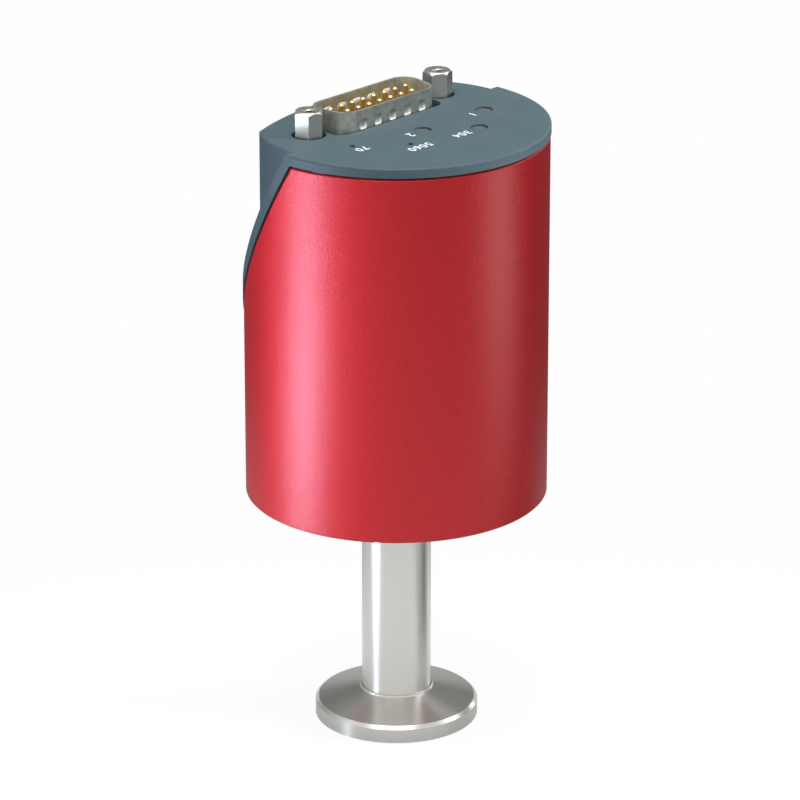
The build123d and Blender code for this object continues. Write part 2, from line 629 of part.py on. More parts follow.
# Ceramic cell: body, diaphragm and cover with a glass seal between each
write("ceramic_body", ring(cell_r, CELL_BORE_R, cell_bottom, body_seal))
write("lower_glass_seal", ring(cell_r, seal_in_r, body_seal, diaphragm_under))
write("ceramic_diaphragm", drum(cell_r, diaphragm_under, cover_seal))
write("upper_glass_seal", ring(cell_r, seal_in_r, cover_seal, cover_under))
ceramic_cover = drum(cell_r, cover_under, cover_top)
ceramic_cover -= drum(GETTER_HOLE_R, cover_under - 1, cover_top + 1, getter_x)
sensor_board = drum(housing_in_r - SENSOR_BOARD_INSET, sensor_board_under, sensor_board_top)
cell_pins = []
for angle in (90, 150, 210, 270):
    x = cell_pin_spot_r * cos(radians(angle))
    y = cell_pin_spot_r * sin(radians(angle))
    ceramic_cover -= drum(CELL_PIN_R + WELD_FIT, cover_under - 1, cover_top + 1, x, y)
    sensor_board -= drum(CELL_PIN_R + PIN_FIT, sensor_board_under - 1, sensor_board_top + 1, x, y)
    pin = drum(CELL_PIN_R, cover_under, sensor_board_top + 0.8, x, y)
    cell_pins.append(pin + drum(2 * CELL_PIN_R, sensor_board_under - 0.8, sensor_board_under, x, y))
write("ceramic_cover", ceramic_cover)
write("sensor_board", sensor_board)
write("cell_pins", Compound(children=cell_pins))

# Getter that keeps the reference side evacuated, under its own cup
getter_cup = drum(GETTER_CUP_R, cover_top, cover_top + GETTER_CUP_HEIGHT, getter_x)
hollow_top = cover_top + GETTER_CUP_HEIGHT - GETTER_CUP_WALL
getter_cup -= drum(GETTER_CUP_R - GETTER_CUP_WALL, cover_top - 1, hollow_top, getter_x)
write("getter_cup", getter_cup)
write("getter", drum(GETTER_R, cover_top, cover_top + GETTER_HEIGHT, getter_x))

# Sensor board's chip, and the flat ribbon up to the main board with a socket at each end
write("sensor_chip", placed(SENSOR_CHIP_SIZE, sensor_board_top, SENSOR_CHIP_SPOT))
slot = RIBBON_SHEET + 2 * PIN_FIT
slot_width = RIBBON_WIDTH + 2 * PIN_FIT
room = slot_width, slot
plug_size = RIBBON_WIDTH + 2, 3
lower_socket = block(*plug_size, sensor_board_top, sensor_board_top + RIBBON_SOCKET, 0, RIBBON_Y)
lower_socket -= block(*room, sensor_board_top + RIBBON_END, sensor_board_top + 5, 0, RIBBON_Y)
upper_socket = block(*plug_size, main_board_under - RIBBON_SOCKET, main_board_under, 0, RIBBON_Y)
upper_socket -= block(*room, main_board_under - 5, main_board_under - RIBBON_END, 0, RIBBON_Y)
write("lower_ribbon_socket", lower_socket)
write("upper_ribbon_socket", upper_socket)
ribbon_low = sensor_board_top + RIBBON_END
ribbon_top = main_board_under - RIBBON_END - SPIGOT_FIT
write("sensor_ribbon", block(RIBBON_WIDTH, RIBBON_SHEET, ribbon_low, ribbon_top, 0, RIBBON_Y))
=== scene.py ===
import bpy
import bmesh
import json
import math
from mathutils import Euler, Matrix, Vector


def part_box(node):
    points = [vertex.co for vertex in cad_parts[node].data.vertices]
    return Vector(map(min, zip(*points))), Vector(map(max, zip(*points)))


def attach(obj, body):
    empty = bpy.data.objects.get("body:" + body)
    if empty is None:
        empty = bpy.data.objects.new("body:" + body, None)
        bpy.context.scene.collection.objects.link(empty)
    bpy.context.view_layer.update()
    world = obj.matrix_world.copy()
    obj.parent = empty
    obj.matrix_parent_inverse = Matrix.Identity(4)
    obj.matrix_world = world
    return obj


# Capacitance diaphragm gauge: red housing, blue-grey cap, steel vacuum port.
# Everything is in metres, in the CAD model's frame. The gauge's own sizes are written in
# millimetres and multiplied by MM; the floor and the lamps are written in metres.

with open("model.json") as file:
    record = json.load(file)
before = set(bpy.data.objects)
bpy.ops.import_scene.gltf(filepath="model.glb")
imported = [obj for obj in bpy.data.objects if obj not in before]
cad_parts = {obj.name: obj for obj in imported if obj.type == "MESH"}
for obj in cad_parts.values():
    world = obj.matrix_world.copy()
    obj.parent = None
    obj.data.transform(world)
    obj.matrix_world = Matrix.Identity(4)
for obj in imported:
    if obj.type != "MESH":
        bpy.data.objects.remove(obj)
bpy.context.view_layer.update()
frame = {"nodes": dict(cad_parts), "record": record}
MM = 0.001

# Camera: the photograph's direction, a long lens and no shift. Azimuths count from the front, -Y.
CAMERA_AZIMUTH = -46.71
CAMERA_ELEVATION = 20.86
CAMERA_DISTANCE = 0.900
CAMERA_LENS = 222.9
CAMERA_SENSOR = 36
AIM_RIGHT = 0.66
AIM_UP = 61.6


def linear(hex_colour):
    """An sRGB hex colour as linear red, green, blue and alpha."""
    out = []
    for i in (0, 2, 4):
        c = int(hex_colour[i:i + 2], 16) / 255
        out.append(c / 12.92 if c <= 0.04045 else ((c + 0.055) / 1.055) ** 2.4)
    return (*out, 1.0)


def per_metre(size):
    """The scale of a texture whose marks are this many millimetres wide."""
    return 1 / (size * MM)


def add(tree, kind, inputs=None, **settings):
    """Adds a node to a tree, with its settings, and its inputs as values or links."""
    node = tree.nodes.new(kind)
    for name, value in settings.items():
        setattr(node, name, value)
    for name, value in (inputs or {}).items():
        if isinstance(value, bpy.types.NodeSocket):
            tree.links.new(value, node.inputs[name])
        else:
            node.inputs[name].default_value = value
    return node


def finish_of(name, **sockets):
    """A new material with one Principled shader; sockets are its constant inputs."""
    made = bpy.data.materials.new(name)
    made.use_nodes = True
    tree = made.node_tree
    shader = tree.nodes["Principled BSDF"]
    for socket, value in sockets.items():
        shader.inputs[socket.replace("_", " ")].default_value = value
    return made, tree, shader


def direction(azimuth, elevation):
    """The way to something seen from the gauge, one metre long."""
    a = math.radians(azimuth)
    e = math.radians(elevation)
    return Vector((math.sin(a) * math.cos(e), -math.cos(a) * math.cos(e), math.sin(e)))


# Camera
side = direction(CAMERA_AZIMUTH + 90, 0)
aim = side * AIM_RIGHT * MM + Vector((0, 0, AIM_UP * MM))
toward = direction(CAMERA_AZIMUTH, CAMERA_ELEVATION)
camera = bpy.data.objects.new("camera", bpy.data.cameras.new("camera"))
camera.data.sensor_width = CAMERA_SENSOR
camera.data.lens = CAMERA_LENS
camera.data.clip_start = 0.05
camera.data.clip_end = 20
camera.location = aim + toward * CAMERA_DISTANCE
camera.rotation_mode = "QUATERNION"
camera.rotation_quaternion = (-toward).to_track_quat("-Z", "Y")
bpy.context.collection.objects.link(camera)
bpy.context.scene.camera = camera
bpy.context.scene.view_settings.view_transform = "Standard"

# Red anodised aluminium, bead blasted first: the dyed skin tints what the metal reflects, and the
# blasting spreads highlights wide and sparkles faintly. The real grain of about 0.1 mm is too fine
# to show, so it is drawn 0.357 mm wide. The clear seal over the dye adds a paler sheen.
BLAST_GRAIN = 0.357
BLAST_CLOUD = 3.85
red_skin, tree, shader = finish_of(
    "red_anodised_aluminium",
    Metallic=1.0,
    Specular_Tint=linear("818181"),
    Coat_Weight=0.85,
    Coat_Roughness=0.37,
    Coat_IOR=1.5,
)
place = add(tree, "ShaderNodeTexCoord").outputs["Object"]
grain = add(
    tree, "ShaderNodeTexNoise",
    {"Vector": place, "Scale": per_metre(BLAST_GRAIN), "Detail": 3.0, "Roughness": 0.6},
)
cloud = add(
    tree, "ShaderNodeTexNoise",
    {"Vector": place, "Scale": per_metre(BLAST_CLOUD), "Detail": 3.0},
)
tint = add(tree, "ShaderNodeValToRGB", {"Fac": grain.outputs["Fac"]})
tint.color_ramp.elements[0].position = 0.3
tint.color_ramp.elements[0].color = linear("b8141c")
tint.color_ramp.elements[1].position = 0.7
tint.color_ramp.elements[1].color = linear("cf1c27")
rough = add(
    tree, "ShaderNodeMapRange",
    {"Value": cloud.outputs["Fac"], "To Min": 0.64, "To Max": 0.7},
)
bump = add(
    tree, "ShaderNodeBump",
    {"Height": grain.outputs["Fac"], "Strength": 0.9, "Distance": 0.06 * MM},
)
tree.links.new(tint.outputs["Color"], shader.inputs["Base Color"])
tree.links.new(rough.outputs["Result"], shader.inputs["Roughness"])
tree.links.new(bump.outputs["Normal"], shader.inputs["Normal"])
tree.links.new(bump.outputs["Normal"], shader.inputs["Coat Normal"])

# ABS, moulded against a spark-eroded face: dull blue-grey with a soft sheen. The real grain of
# about 0.05 mm is too fine to show, so it is drawn 0.333 mm wide.
MOULD_GRAIN = 0.333
MOULD_CLOUD = 8.33
cap_plastic, tree, shader = finish_of("moulded_abs_blue_grey", Roughness=0.58, IOR=1.5)
place = add(tree, "ShaderNodeTexCoord").outputs["Object"]
grain = add(
    tree, "ShaderNodeTexNoise",
    {"Vector": place, "Scale": per_metre(MOULD_GRAIN), "Detail": 2.0},
)
cloud = add(
    tree, "ShaderNodeTexNoise",
    {"Vector": place, "Scale": per_metre(MOULD_CLOUD), "Detail": 2.0},
)
tint = add(tree, "ShaderNodeValToRGB", {"Fac": cloud.outputs["Fac"]})
tint.color_ramp.elements[0].position = 0.3
tint.color_ramp.elements[0].color = linear("475b61")
tint.color_ramp.elements[1].position = 0.7
tint.color_ramp.elements[1].color = linear("4b5f65")
bump = add(
    tree, "ShaderNodeBump",
    {"Height": grain.outputs["Fac"], "Strength": 0.3, "Distance": 0.02 * MM},
)
tree.links.new(tint.outputs["Color"], shader.inputs["Base Color"])
tree.links.new(bump.outputs["Normal"], shader.inputs["Normal"])

# Stainless steel, turned on a lathe: rings one feed of the tool apart, 0.111 mm, so reflections
# stretch across them. They run round the tube and are circles on the cone. Handling leaves faint
# clouds about a millimetre wide.
TOOL_FEED = 0.111
STEEL_CLOUD = 1.11
turned_steel, tree, shader = finish_of(
    "turned_stainless_steel",
    Base_Color=linear("dcdbd6"),
    Metallic=1.0,
    Anisotropic=0.8,
    Anisotropic_Rotation=0.25,
)
place = add(tree, "ShaderNodeTexCoord").outputs["Object"]
parts = add(tree, "ShaderNodeSeparateXYZ", {"Vector": place})
flat = add(tree, "ShaderNodeCombineXYZ", {"X": parts.outputs["X"], "Y": parts.outputs["Y"]})
radius = add(tree, "ShaderNodeVectorMath", {"Vector": flat.outputs["Vector"]}, operation="LENGTH")
profile = add(
    tree, "ShaderNodeMath",
    {0: radius.outputs["Value"], 1: parts.outputs["Z"]},
    operation="ADD",
)
rings = add(
    tree, "ShaderNodeTexNoise",
    {"W": profile.outputs["Value"], "Scale": per_metre(TOOL_FEED), "Detail": 3.0},
    noise_dimensions="1D",
)
cloud = add(
    tree, "ShaderNodeTexNoise",
    {"Vector": place, "Scale": per_metre(STEEL_CLOUD), "Detail": 4.0, "Roughness": 0.7},
)
rough = add(
    tree, "ShaderNodeMapRange",
    {"Value": cloud.outputs["Fac"], "To Min": 0.3, "To Max": 0.36},
)
bump = add(
    tree, "ShaderNodeBump",
    {"Height": rings.outputs["Fac"], "Strength": 0.1, "Distance": 0.01 * MM},
)
round_it = add(tree, "ShaderNodeTangent", direction_type="RADIAL", axis="Z")
tree.links.new(round_it.outputs["Tangent"], shader.inputs["Tangent"])
tree.links.new(rough.outputs["Result"], shader.inputs["Roughness"])
tree.links.new(bump.outputs["Normal"], shader.inputs["Normal"])

# Steel sheet with a satin nickel plating: warm grey, with clouds about a millimetre wide where the
# bath left its marks.
PLATING_CLOUD = 1.11
nickel, tree, shader = finish_of("nickel_plated_steel", Metallic=1.0)
place = add(tree, "ShaderNodeTexCoord").outputs["Object"]
cloud = add(
    tree, "ShaderNodeTexNoise",
    {"Vector": place, "Scale": per_metre(PLATING_CLOUD), "Detail": 4.0, "Roughness": 0.6},
)
tint = add(tree, "ShaderNodeValToRGB", {"Fac": cloud.outputs["Fac"]})
tint.color_ramp.elements[0].position = 0.35
tint.color_ramp.elements[0].color = linear("c3c4b9")
tint.color_ramp.elements[1].position = 0.65
tint.color_ramp.elements[1].color = linear("dddad0")
rough = add(
    tree, "ShaderNodeMapRange",
    {"Value": cloud.outputs["Fac"], "To Min": 0.34, "To Max": 0.56},
)
bump = add(
    tree, "ShaderNodeBump",
    {"Height": cloud.outputs["Fac"], "Strength": 0.25, "Distance": 0.05 * MM},
)
tree.links.new(tint.outputs["Color"], shader.inputs["Base Color"])
tree.links.new(rough.outputs["Result"], shader.inputs["Roughness"])
tree.links.new(bump.outputs["Normal"], shader.inputs["Normal"])

# Gold flash over nickel: a strong yellow metal, with a soft shine.
GOLD_CLOUD = 0.667
gold, tree, shader = finish_of(
    "gold_plated_contacts",
    Base_Color=linear("e8c884"),
    Metallic=1.0,
)
place = add(tree, "ShaderNodeTexCoord").outputs["Object"]
cloud = add(tree, "ShaderNodeTexNoise", {"Vector": place, "Scale": per_metre(GOLD_CLOUD)})
rough = add(
    tree, "ShaderNodeMapRange",
    {"Value": cloud.outputs["Fac"], "To Min": 0.28, "To Max": 0.36},
)
tree.links.new(rough.outputs["Result"], shader.inputs["Roughness"])

# Polycarbonate, moulded and smooth. Its grey colour is painted shade, for the little light that
# comes up through it, and it has a clear shine on top.
GUIDE_WAVE = 0.667
clear_plastic, tree, shader = finish_of(
    "clear_polycarbonate",
    Base_Color=linear("5f6869"),
    Roughness=0.22,
    IOR=1.58,
    Transmission_Weight=0.1,
)
place = add(tree, "ShaderNodeTexCoord").outputs["Object"]
cloud = add(tree, "ShaderNodeTexNoise", {"Vector": place, "Scale": per_metre(GUIDE_WAVE)})
bump = add(
    tree, "ShaderNodeBump",
    {"Height": cloud.outputs["Fac"], "Strength": 0.1, "Distance": 0.05 * MM},
)
tree.links.new(bump.outputs["Normal"], shader.inputs["Normal"])


def plain_finish(name, colour, mark, rough_low, rough_high, **sockets):
    """A finish of one colour, whose gloss and relief vary in marks this many millimetres wide."""
    made, tree, shader = finish_of(name, Base_Color=linear(colour), **sockets)
    place = add(tree, "ShaderNodeTexCoord").outputs["Object"]
    marks = add(
        tree, "ShaderNodeTexNoise",
        {"Vector": place, "Scale": per_metre(mark), "Detail": 3.0},
    )
    rough = add(
        tree, "ShaderNodeMapRange",
        {"Value": marks.outputs["Fac"], "To Min": rough_low, "To Max": rough_high},
    )
    bump = add(
        tree, "ShaderNodeBump",
        {"Height": marks.outputs["Fac"], "Strength": 0.2, "Distance": 0.02 * MM},
    )
    tree.links.new(rough.outputs["Result"], shader.inputs["Roughness"])
    tree.links.new(bump.outputs["Normal"], shader.inputs["Normal"])
    return made


# Glass-filled PBT, moulded: nearly black and dull.
black_plastic = plain_finish("moulded_pbt_black", "1d1f20", 0.4, 0.45, 0.6, IOR=1.55)
# The same in grey for the connector's insulator: its face lightens the inside of the shell.
grey_plastic = plain_finish("moulded_pbt_grey", "bdbab2", 0.4, 0.45, 0.6, IOR=1.55)
# Epoxy glass board under green lacquer: an even gloss.
board_finish = plain_finish("lacquered_epoxy_glass", "1d5a39", 1.25, 0.3, 0.42, IOR=1.5)
# Stainless steel, machined and left bare: light grey with a soft shine.
bare_steel = plain_finish("machined_stainless_steel", "bdbab4", 0.556, 0.28, 0.42, Metallic=1.0)
# Hexagon bar under bright nickel: each flat of a jackscrew mirrors another part of the room.
jack_finish = plain_finish("bright_nickel_on_bar", "cac7bf", 1.11, 0.32, 0.46, Metallic=1.0)
# Steel freshly cut by a tap: bright, almost a mirror on the flanks.
cut_steel = plain_finish("tapped_steel", "e2ded6", 0.556, 0.16, 0.24, Metallic=1.0)
# Free-cutting brass, turned: yellow and a little dull.
brass_finish = plain_finish("turned_brass", "c9a457", 0.556, 0.25, 0.38, Metallic=1.0)
# Sintered alumina: ivory white, matt like a biscuit plate.
alumina = plain_finish("sintered_alumina", "ece8dc", 0.833, 0.45, 0.6, IOR=1.76)
# Sealing glass, fused: greyish green and glossy.
seal_finish = plain_finish("fused_sealing_glass", "8fb0a4", 1.11, 0.12, 0.2, IOR=1.5)
# Iron-nickel alloy, machined: warmer than the stainless steel.
alloy_finish = plain_finish("iron_nickel_alloy", "b7b0a4", 0.667, 0.3, 0.42, Metallic=1.0)
# Getter metal, sintered: dark and porous.
getter_finish = plain_finish("sintered_getter_metal", "6a6764", 0.286, 0.6, 0.8, Metallic=0.8)
# Tinned copper: pale, with a soft shine.
tin_finish = plain_finish("tinned_copper", "c8c8c4", 0.667, 0.3, 0.45, Metallic=1.0)
# Polyimide film: amber and glossy.
film_finish = plain_finish("polyimide_film", "a8661f", 1.11, 0.2, 0.3, IOR=1.7)
# Epoxy, cast milky over the lamps: nearly white, smooth.
lamp_finish = plain_finish("milky_epoxy", "e6e2d0", 1.11, 0.25, 0.35, IOR=1.5)

FINISHES = {
    "red_aluminium": red_skin,
    "blue_grey_plastic": cap_plastic,
    "turned_steel": turned_steel,
    "nickel_plate": nickel,
    "gold_plate": gold,
    "clear_plastic": clear_plastic,
    "black_plastic": black_plastic,
    "board_laminate": board_finish,
    "steel_plain": bare_steel,
    "brass_plain": brass_finish,
    "alumina": alumina,
    "seal_glass": seal_finish,
    "nickel_iron": alloy_finish,
    "getter_metal": getter_finish,
    "tin_plate": tin_finish,
    "amber_film": film_finish,
    "lamp_plastic": lamp_finish,
}
# Two nodes look different from the rest of their slot
OWN_FINISHES = {"connector_insulator": grey_plastic, "jackscrews": jack_finish}
for part in frame["record"]["subparts"]:
    node = part["node"]
    for slot in frame["nodes"][node].material_slots:
        slot.material = OWN_FINISHES.get(node, FINISHES[part["material_slot"]])

# White ink, screen printed: matt and slightly uneven, with the mesh's marks drawn 0.25 mm wide.
INK_MESH = 0.25
ink, tree, shader = finish_of("white_screen_ink", Base_Color=linear("e4ebee"))
place = add(tree, "ShaderNodeTexCoord").outputs["Object"]
cloud = add(tree, "ShaderNodeTexNoise", {"Vector": place, "Scale": per_metre(INK_MESH)})
rough = add(
    tree, "ShaderNodeMapRange",
    {"Value": cloud.outputs["Fac"], "To Min": 0.5, "To Max": 0.62},
)
tree.links.new(rough.outputs["Result"], shader.inputs["Roughness"])

# Plain numbers printed on the cap beside each hole, to be read from behind the gauge
MARK_SIZE = 2.45
MARK_SPACING = 1.15
MARK_BOLDER = 0.05
MARK_HALF_THICK = 0.01
MARK_BESIDE_LAMP = 3.0
MARK_BELOW_LAMP = 0.45
MARK_BELOW_BUTTON = 2.3
LAMP_MARKS = {"one": "2", "two": "304", "status": "1"}
BUTTON_MARKS = {"zero": "5060", "setpoint": "70"}
cap_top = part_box("top_cap")[1][2]


def middle(node):
    """The middle of a node's box, in plan."""
    low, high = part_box(node)
    return (low[0] + high[0]) / 2, (low[1] + high[1]) / 2


def print_mark(name, digits, x, y, align):
    """Digits printed on the cap's top, upright for someone who stands behind the gauge."""
    text = bpy.data.curves.new(name, "FONT")
    text.body = digits
    text.size = MARK_SIZE * MM
    text.space_character = MARK_SPACING
    text.offset = MARK_BOLDER * MM
    text.align_x = align
    text.align_y = "CENTER"
    text.extrude = MARK_HALF_THICK * MM
    text.materials.append(ink)
    mark = bpy.data.objects.new(name, text)
    mark.location = (x, y, cap_top + MARK_HALF_THICK * MM)
    mark.rotation_euler = (0, 0, math.pi)
    bpy.context.collection.objects.link(mark)
    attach(mark, "gauge")


for lamp, digits in LAMP_MARKS.items():
    x, y = middle("light_guide_" + lamp)
    x -= MARK_BESIDE_LAMP * MM
    y -= MARK_BELOW_LAMP * MM
    print_mark("mark_beside_lamp_" + lamp, digits, x, y, "LEFT")
for button, digits in BUTTON_MARKS.items():
    x, y = middle(button + "_button_plunger")
    y -= MARK_BELOW_BUTTON * MM
    print_mark("mark_beside_" + button + "_button", digits, x, y, "CENTER")


def joined(piece, name, material):
    """Makes an object of a bmesh, with one material, smooth faces and normals that point out."""
    bmesh.ops.recalc_face_normals(piece, faces=piece.faces)
    mesh = bpy.data.meshes.new(name)
    piece.to_mesh(mesh)
    piece.free()
    mesh.materials.append(material)
    for face in mesh.polygons:
        face.use_smooth = True
    obj = bpy.data.objects.new(name, mesh)
    bpy.context.collection.objects.link(obj)
    return obj


# Screw thread inside each jackscrew, 40 turns to the inch
JACK_PITCH = 33.32
THREAD_PITCH = 0.635
THREAD_TURNS = 6
THREAD_STEPS = 40
THREAD_ROOT_R = 1.19
THREAD_CREST_R = 0.82
THREAD_ROOT_HEIGHT = 0.95 * THREAD_PITCH
THREAD_BELOW_TOP = 0.05


def thread(name, x, y, top):
    """A closed ridge of triangular section that winds down from the top."""
    piece = bmesh.new()
    roots = []
    crests = []
    to_crest = Vector((0, 0, -THREAD_PITCH * MM / 2))
    to_low_root = Vector((0, 0, -THREAD_ROOT_HEIGHT * MM))
    for i in range(THREAD_STEPS * THREAD_TURNS + 1):
        turn = math.tau * i / THREAD_STEPS
        out = Vector((math.cos(turn), math.sin(turn), 0))
        spot = Vector((x, y, top - THREAD_PITCH * MM * i / THREAD_STEPS))
        root = spot + out * THREAD_ROOT_R * MM
        roots.append((piece.verts.new(root), piece.verts.new(root + to_low_root)))
        crests.append(piece.verts.new(spot + out * THREAD_CREST_R * MM + to_crest))
    for i in range(THREAD_STEPS * THREAD_TURNS):
        high, low = roots[i]
        next_high, next_low = roots[i + 1]
        piece.faces.new((high, crests[i], crests[i + 1], next_high))
        piece.faces.new((crests[i], low, next_low, crests[i + 1]))
        piece.faces.new((low, high, next_high, next_low))
    for i in (0, -1):
        piece.faces.new((roots[i][0], crests[i], roots[i][1]))
    obj = joined(piece, name, cut_steel)
    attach(obj, "gauge")


jack_y = middle("jackscrews")[1]
jack_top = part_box("jackscrews")[1][2]
for name, way in (("left", -1), ("right", 1)):
    x = way * JACK_PITCH / 2 * MM
    thread("thread_in_" + name + "_jackscrew", x, jack_y, jack_top - THREAD_BELOW_TOP * MM)

# Weld bead where the port's tube meets its flange: a low ring with faint ripples
BEAD_RING_R = 6.5
BEAD_R = 0.27
BEAD_SUNK = 0.15
BEAD_RIPPLE = 0.015
BEAD_RIPPLES = 60
BEAD_STEPS = 360
BEAD_SIDES = 12
bead_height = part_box("kf_flange")[1][2] - BEAD_SUNK * MM
bead = bmesh.new()
rows = []
for i in range(BEAD_STEPS):
    turn = math.tau * i / BEAD_STEPS
    fat = BEAD_R + BEAD_RIPPLE * math.sin(BEAD_RIPPLES * turn)
    row = []
    for k in range(BEAD_SIDES):
        around = math.tau * k / BEAD_SIDES
        r = (BEAD_RING_R + fat * math.cos(around)) * MM
        z = bead_height + fat * math.sin(around) * MM
        row.append(bead.verts.new((r * math.cos(turn), r * math.sin(turn), z)))
    rows.append(row)
for i in range(BEAD_STEPS):
    here = rows[i]
    there = rows[(i + 1) % BEAD_STEPS]
    for k in range(BEAD_SIDES):
        m = (k + 1) % BEAD_SIDES
        bead.faces.new((here[k], here[m], there[m], there[k]))
weld_bead = joined(bead, "weld_bead", turned_steel)
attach(weld_bead, "gauge")

# Edges broken by deburring: a narrow bevel on the sharp CAD edges, which catches the light
BROKEN_EDGES = {"kf_flange": 0.05, "jackscrews": 0.1, "connector_shell": 0.12}
SHARP_FROM = 28
for node, width in BROKEN_EDGES.items():
    edge = frame["nodes"][node].modifiers.new("broken_edges", "BEVEL")
    edge.width = width * MM
    edge.segments = 2
    edge.limit_method = "ANGLE"
    edge.angle_limit = math.radians(SHARP_FROM)

# A patch of painted shade at the right, on the floor and in the world behind it, where the gauge's
# shadow lies; mirrored, it gives the port's tube its dark stripe. Its edge and its core are cosines
# of the angle from its middle.
PAINTED_SHADE_AZIMUTH = 93
PAINTED_SHADE_EDGE = 0.86
PAINTED_SHADE_CORE = 0.97


def left_by_painted_shade(tree, way, darkest):
    """The share of light that the painted shade patch leaves in a direction, down to the darkest at
    its core.
    """
    to_painted_shade = add(
        tree, "ShaderNodeVectorMath",
        {0: way, 1: direction(CAMERA_AZIMUTH + PAINTED_SHADE_AZIMUTH, 0)},
        operation="DOT_PRODUCT",
    )
    left = add(
        tree, "ShaderNodeMapRange",
        {
            "Value": to_painted_shade.outputs["Value"],
            "From Min": PAINTED_SHADE_EDGE, "From Max": PAINTED_SHADE_CORE,
            "To Min": 1.0, "To Max": darkest,
        },
    )
    return left.outputs["Result"]


# Floor: a pale card under the gauge and in front of it, grey further out. The camera sees it
# white, less a trace of its shade that keeps the shadow. Metal mirrors the card with painted shade
# on it: a darker ring round the foot and a dark patch at the right. From below the floor is clear,
# so that the underside can be seen.
FLOOR_REACH = 3
FLOOR_DROP = 0.0002
CARD_FORWARD = 0.08
CARD_R = 0.12
CARD_FADE_R = 0.26
CARD_WHITE = 0.95
FAR_GREY = 0.1
# Painted shade: a darker ring round the flange's foot, seen only in reflections, for the contact
# shadow there
FOOT_R = 0.018
FOOT_FADE_R = 0.032
FOOT_PAINTED_SHADE = 0.55
# Painted shade at the right: from this radius out, the floor that metal mirrors is darkened
PAINTED_SHADE_FROM_R = 0.03
PAINTED_SHADE_FULL_R = 0.045
PAINTED_SHADE_ON_FLOOR = 0.25
SHADE_KEPT = 0.08
floor_mesh = bpy.data.meshes.new("floor")
corners = [(-1, -1), (1, -1), (1, 1), (-1, 1)]
floor_mesh.from_pydata(
    [(x * FLOOR_REACH, y * FLOOR_REACH, 0) for x, y in corners], [], [(0, 1, 2, 3)]
)
floor = bpy.data.objects.new("floor", floor_mesh)
floor.location.z = -FLOOR_DROP
bpy.context.collection.objects.link(floor)
paper = bpy.data.materials.new("white_paper")
paper.use_nodes = True
tree = paper.node_tree
tree.nodes.clear()
rays = add(tree, "ShaderNodeLightPath")
place = add(tree, "ShaderNodeTexCoord").outputs["Object"]
front = Vector((toward.x, toward.y, 0)).normalized()
from_card = add(
    tree, "ShaderNodeVectorMath",
    {0: place, 1: front * CARD_FORWARD},
    operation="SUBTRACT",
)
card_r = add(
    tree, "ShaderNodeVectorMath",
    {"Vector": from_card.outputs["Vector"]},
    operation="LENGTH",
)
card = add(
    tree, "ShaderNodeMapRange",
    {
        "Value": card_r.outputs["Value"],
        "From Min": CARD_R, "From Max": CARD_FADE_R,
        "To Min": CARD_WHITE, "To Max": FAR_GREY,
    },
)
gauge_r = add(tree, "ShaderNodeVectorMath", {"Vector": place}, operation="LENGTH")
# Painted shade round the foot, as metal mirrors the floor
painted_foot_shade = add(
    tree, "ShaderNodeMapRange",
    {
        "Value": gauge_r.outputs["Value"],
        "From Min": FOOT_R, "From Max": FOOT_FADE_R,
        "To Min": FOOT_PAINTED_SHADE, "To Max": 1.0,
    },
)
way = add(tree, "ShaderNodeVectorMath", {"Vector": place}, operation="NORMALIZE")
# Painted shade: the floor's reflection darkened at the right, for the gauge's shadow there
painted_shade = add(
    tree, "ShaderNodeMapRange",
    {
        "Value": gauge_r.outputs["Value"],
        "From Min": PAINTED_SHADE_FROM_R, "From Max": PAINTED_SHADE_FULL_R,
        "To Min": 1.0, "To Max": left_by_painted_shade(tree, way.outputs["Vector"], PAINTED_SHADE_ON_FLOOR),
    },
)
painted_shade_dimming = add(
    tree, "ShaderNodeMath",
    {0: painted_foot_shade.outputs["Result"], 1: painted_shade.outputs["Result"]},
    operation="MULTIPLY",
)
mirrored = add(
    tree, "ShaderNodeMath",
    {0: card.outputs["Result"], 1: painted_shade_dimming.outputs["Value"]},
    operation="MULTIPLY",
)
seen = add(
    tree, "ShaderNodeMath",
    {0: rays.outputs["Is Camera Ray"], 1: rays.outputs["Is Transmission Ray"]},
    operation="MAXIMUM",
)
white_share = add(
    tree, "ShaderNodeMath",
    {0: card.outputs["Result"], 1: -SHADE_KEPT, 2: 1.0},
    operation="MULTIPLY_ADD",
)
seen_white = add(
    tree, "ShaderNodeMath",
    {0: seen.outputs["Value"], 1: white_share.outputs["Value"]},
    operation="MULTIPLY",
)
glowing = add(
    tree, "ShaderNodeMath",
    {0: seen_white.outputs["Value"], 1: rays.outputs["Is Glossy Ray"]},
    operation="MAXIMUM",
)
level = add(
    tree, "ShaderNodeMapRange",
    {
        "Value": rays.outputs["Is Glossy Ray"],
        "To Min": 1.0, "To Max": mirrored.outputs["Value"],
    },
)
matt = add(tree, "ShaderNodeBsdfDiffuse", {"Color": card.outputs["Result"]})
glow = add(
    tree, "ShaderNodeEmission",
    {"Color": linear("ffffff"), "Strength": level.outputs["Result"]},
)
from_above = add(
    tree, "ShaderNodeMixShader",
    {0: glowing.outputs["Value"], 1: matt.outputs["BSDF"], 2: glow.outputs["Emission"]},
)
under = add(tree, "ShaderNodeNewGeometry").outputs["Backfacing"]
from_below = add(
    tree, "ShaderNodeMath",
    {0: rays.outputs["Is Camera Ray"], 1: under},
    operation="MULTIPLY",
)
clear = add(tree, "ShaderNodeBsdfTransparent")
both_sides = add(
    tree, "ShaderNodeMixShader",
    {0: from_below.outputs["Value"], 1: from_above.outputs["Shader"], 2: clear.outputs["BSDF"]},
)
add(tree, "ShaderNodeOutputMaterial", {"Surface": both_sides.outputs["Shader"]})
floor_mesh.materials.append(paper)
